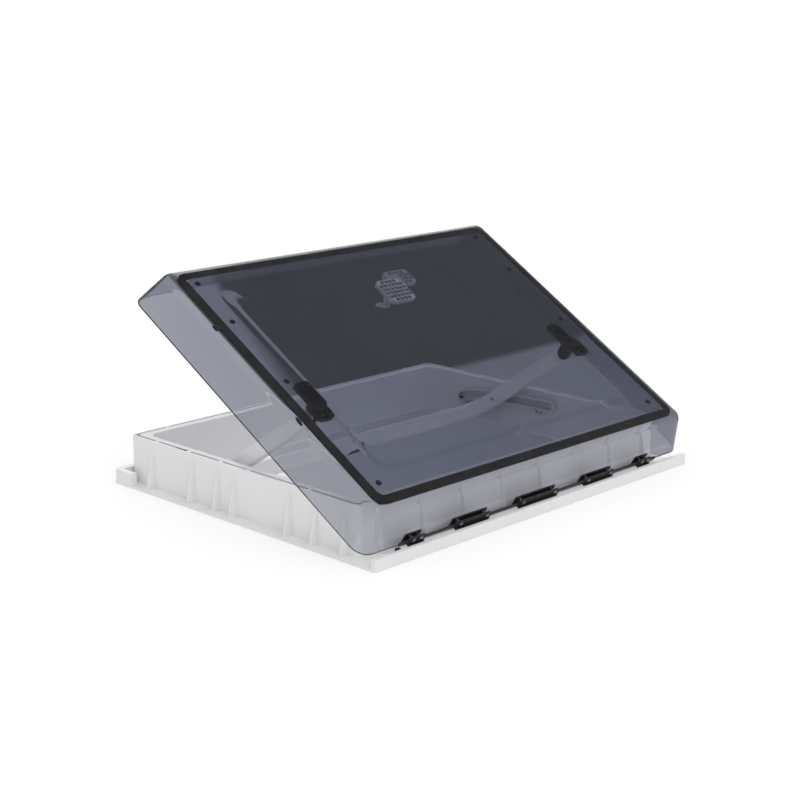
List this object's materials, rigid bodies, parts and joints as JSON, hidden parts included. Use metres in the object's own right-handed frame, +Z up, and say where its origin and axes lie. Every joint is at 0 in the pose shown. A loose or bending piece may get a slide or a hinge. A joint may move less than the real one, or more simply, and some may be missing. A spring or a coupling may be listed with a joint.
{
  "type": "roof vent cover",
  "caption": "Caravan roof vent: a white roof frame with upright ribbed walls and a hinged double acrylic dome pushed open by a U-shaped bow that runs in side rails.",
  "frame": {"origin": "centre of the roof flange on its underside, on the roof's surface", "axes": "+X along the hinge, which is the long side; +Y from the hinge to the side that opens; +Z up from the roof"},
  "size_m": [0.8206, 0.644, 0.3893],
  "materials": {
    "white_frame": "moulded white ABS, satin gloss",
    "liner": "moulded light grey ABS, satin",
    "rail": "moulded light grey acetal, satin",
    "steel": "zinc plated",
    "rubber": "black EPDM",
    "black_plastic": "black glass-filled nylon, fine grain",
    "black_screws": "black coated",
    "outer_acrylic": "grey tinted clear acrylic, polished",
    "inner_acrylic": "grey tinted clear acrylic, polished",
    "white_nylon": "natural nylon",
    "grey_plastic": "grey nylon, fine grain",
    "bow_plastic": "moulded light grey, satin",
    "button_plastic": "dark grey, fine grain"
  },
  "bodies": {
    "frame": {"outer_frame": "white_frame", "inner_liner": "liner", "guide_rail_left": "rail", "guide_rail_right": "rail", "guide_rail_screws": "steel", "rail_buffers": "rubber", "rim_plugs": "black_plastic", "hinge_pin": "steel", "hinge_pin_caps": "black_plastic"},
    "dome": {"dome_shell": "outer_acrylic", "inner_pane": "inner_acrylic", "dome_seal": "rubber", "seal_clips": "black_plastic", "hinge_strip": "black_plastic", "hinge_block_1": "black_plastic", "hinge_block_2": "black_plastic", "hinge_block_3": "black_plastic", "hinge_block_4": "black_plastic", "hinge_block_5": "black_plastic", "hinge_block_screws": "steel", "pane_screws": "black_screws", "bow_bracket_left": "black_plastic", "bow_bracket_right": "black_plastic", "bracket_screws": "steel", "bow_pin_left": "black_plastic", "bow_pin_right": "black_plastic", "bow_washers": "white_nylon", "catch_base": "grey_plastic", "catch_screws": "steel", "catch_pin": "steel"},
    "bow": {"bow_bar": "bow_plastic", "bow_bush_left": "black_plastic", "bow_bush_right": "black_plastic", "roller_pin_left": "steel", "roller_pin_right": "steel", "lock_spring": "steel"},
    "roller_left": {"guide_roller_left": "white_nylon"},
    "roller_right": {"guide_roller_right": "white_nylon"},
    "catch_lever": {"catch_hook": "grey_plastic"},
    "button": {"lock_button": "button_plastic"}
  },
  "joints": [
    {"name": "dome_hinge", "type": "hinge", "parent": "frame", "child": "dome", "pos_m": [0, -0.2995, 0.0115], "axis": [1, 0, 0], "range_deg": [-30.8, 19.2]},
    {"name": "bow_swing", "type": "hinge", "parent": "dome", "child": "bow", "pos_m": [0, -0.0967, 0.17966], "axis": [1, 0, 0], "range_deg": [-39.5, 63.3]},
    {"name": "roller_left_spin", "type": "hinge", "parent": "bow", "child": "roller_left", "pos_m": [-0.35, 0.08082, 0.05838], "axis": [1, 0, 0], "continuous": true},
    {"name": "roller_right_spin", "type": "hinge", "parent": "bow", "child": "roller_right", "pos_m": [0.35, 0.08082, 0.05838], "axis": [1, 0, 0], "continuous": true},
    {"name": "catch_turn", "type": "hinge", "parent": "dome", "child": "catch_lever", "pos_m": [0.062, 0.10834, 0.31749], "axis": [1, 0, 0], "range_deg": [0, 30]},
    {"name": "button_press", "type": "slide", "parent": "bow", "child": "button", "axis": [0, 0.5641, 0.8257], "range_m": [0, 0.003], "stiffness_N_per_m": 300, "springref_m": -0.001}
  ],
  "couplings": [
    {"joint": "bow_swing", "follows": "dome_hinge", "ratio": -2.05}
  ]
}
